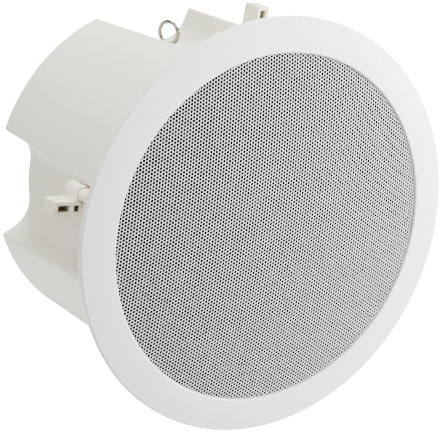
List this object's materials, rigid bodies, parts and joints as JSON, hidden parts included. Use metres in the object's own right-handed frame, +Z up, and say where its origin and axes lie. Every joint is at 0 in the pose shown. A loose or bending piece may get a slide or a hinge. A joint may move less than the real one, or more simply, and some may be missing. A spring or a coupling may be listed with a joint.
{
  "type": "ceiling speaker",
  "caption": "Recessed ceiling speaker: domed perforated grille in a round bezel, deep fluted back can, swing-out clamps on long screws and a safety eye.",
  "frame": {"origin": "on the speaker's axis, in the ceiling plane where the flange's outer rim seats", "axes": "+Z up into the ceiling void along the speaker's axis, so the grille faces down; the flutes and clamps lie on +X, +Y, -X and -Y, and the safety eye is in the -X flute"},
  "size_m": [0.2402, 0.2402, 0.1707],
  "materials": {
    "frame_white": "satin moulded",
    "can_white": "satin moulded, warm off-white",
    "clamp_ivory": "satin moulded",
    "grille_white": "satin powder coat, perforated",
    "cloth_black": "matte",
    "gasket_black": "matte",
    "screw_steel": "zinc plated",
    "basket_black": "black stoved",
    "cone_paper": "matte paper",
    "spider_cloth": "resin-stiffened cloth",
    "coil_copper": "enamelled wire",
    "motor_steel": "zinc plated",
    "ferrite": "matte ceramic",
    "core_steel": "varnished laminations",
    "winding_tape": "wound tape",
    "terminal_grey": "matte moulded",
    "gland_black": "satin moulded",
    "eye_nickel": "bright nickel",
    "bush_brass": "turned"
  },
  "bodies": {
    "speaker": {"front_frame": "frame_white", "grille": "grille_white", "grille_cloth": "cloth_black", "back_can": "can_white", "can_gasket": "gasket_black", "can_screws": "screw_steel", "driver_gasket": "gasket_black", "driver_basket": "basket_black", "driver_screws": "screw_steel", "surround": "gasket_black", "spider": "spider_cloth", "top_plate": "motor_steel", "magnet": "ferrite", "yoke": "motor_steel", "transformer_core": "core_steel", "transformer_coil": "winding_tape", "transformer_strap": "motor_steel", "transformer_screws": "screw_steel", "terminal_cover": "can_white", "cover_screws": "screw_steel", "cable_gland": "gland_black", "terminal_block": "terminal_grey", "eye_bolt": "eye_nickel", "eye_nut": "eye_nickel"},
    "cone_assembly": {"cone": "cone_paper", "dust_cap": "cone_paper", "voice_coil": "coil_copper"},
    "screw_1": {"clamp_screw_1": "screw_steel"},
    "carriage_1": {"clamp_carriage_1": "clamp_ivory", "clamp_bush_1": "bush_brass"},
    "arm_1": {"clamp_arm_1": "clamp_ivory"},
    "screw_2": {"clamp_screw_2": "screw_steel"},
    "carriage_2": {"clamp_carriage_2": "clamp_ivory", "clamp_bush_2": "bush_brass"},
    "arm_2": {"clamp_arm_2": "clamp_ivory"},
    "screw_3": {"clamp_screw_3": "screw_steel"},
    "carriage_3": {"clamp_carriage_3": "clamp_ivory", "clamp_bush_3": "bush_brass"},
    "arm_3": {"clamp_arm_3": "clamp_ivory"},
    "screw_4": {"clamp_screw_4": "screw_steel"},
    "carriage_4": {"clamp_carriage_4": "clamp_ivory", "clamp_bush_4": "bush_brass"},
    "arm_4": {"clamp_arm_4": "clamp_ivory"}
  },
  "joints": [
    {"name": "cone_stroke", "type": "slide", "parent": "speaker", "child": "cone_assembly", "axis": [0, 0, 1], "range_m": [-0.003, 0.003], "stiffness_N_per_m": 1500, "deforming": ["surround", "spider"]},
    {"name": "clamp_travel_1", "type": "slide", "parent": "speaker", "child": "carriage_1", "axis": [0, 0, 1], "range_m": [-0.022, 0]},
    {"name": "arm_swing_1", "type": "hinge", "parent": "carriage_1", "child": "arm_1", "pos_m": [0.0949, 0.0212, 0.0398], "axis": [0, 0, 1], "range_deg": [-90, 0]},
    {"name": "screw_turn_1", "type": "hinge", "parent": "speaker", "child": "screw_1", "pos_m": [0.0949, 0.0212, 0], "axis": [0, 0, 1], "range_deg": [0, 11314.29]},
    {"name": "clamp_travel_2", "type": "slide", "parent": "speaker", "child": "carriage_2", "axis": [0, 0, 1], "range_m": [-0.022, 0]},
    {"name": "arm_swing_2", "type": "hinge", "parent": "carriage_2", "child": "arm_2", "pos_m": [-0.0212, 0.0949, 0.0398], "axis": [0, 0, 1], "range_deg": [-90, 0]},
    {"name": "screw_turn_2", "type": "hinge", "parent": "speaker", "child": "screw_2", "pos_m": [-0.0212, 0.0949, 0], "axis": [0, 0, 1], "range_deg": [0, 11314.29]},
    {"name": "clamp_travel_3", "type": "slide", "parent": "speaker", "child": "carriage_3", "axis": [0, 0, 1], "range_m": [-0.022, 0]},
    {"name": "arm_swing_3", "type": "hinge", "parent": "carriage_3", "child": "arm_3", "pos_m": [-0.0949, -0.0212, 0.0398], "axis": [0, 0, 1], "range_deg": [-90, 0]},
    {"name": "screw_turn_3", "type": "hinge", "parent": "speaker", "child": "screw_3", "pos_m": [-0.0949, -0.0212, 0], "axis": [0, 0, 1], "range_deg": [0, 11314.29]},
    {"name": "clamp_travel_4", "type": "slide", "parent": "speaker", "child": "carriage_4", "axis": [0, 0, 1], "range_m": [-0.022, 0]},
    {"name": "arm_swing_4", "type": "hinge", "parent": "carriage_4", "child": "arm_4", "pos_m": [0.0212, -0.0949, 0.0398], "axis": [0, 0, 1], "range_deg": [-90, 0]},
    {"name": "screw_turn_4", "type": "hinge", "parent": "speaker", "child": "screw_4", "pos_m": [0.0212, -0.0949, 0], "axis": [0, 0, 1], "range_deg": [0, 11314.29]}
  ],
  "couplings": [
    {"joint": "screw_turn_1", "follows": "clamp_travel_1", "rad_per_m": -8976},
    {"joint": "screw_turn_2", "follows": "clamp_travel_2", "rad_per_m": -8976},
    {"joint": "screw_turn_3", "follows": "clamp_travel_3", "rad_per_m": -8976},
    {"joint": "screw_turn_4", "follows": "clamp_travel_4", "rad_per_m": -8976}
  ]
}
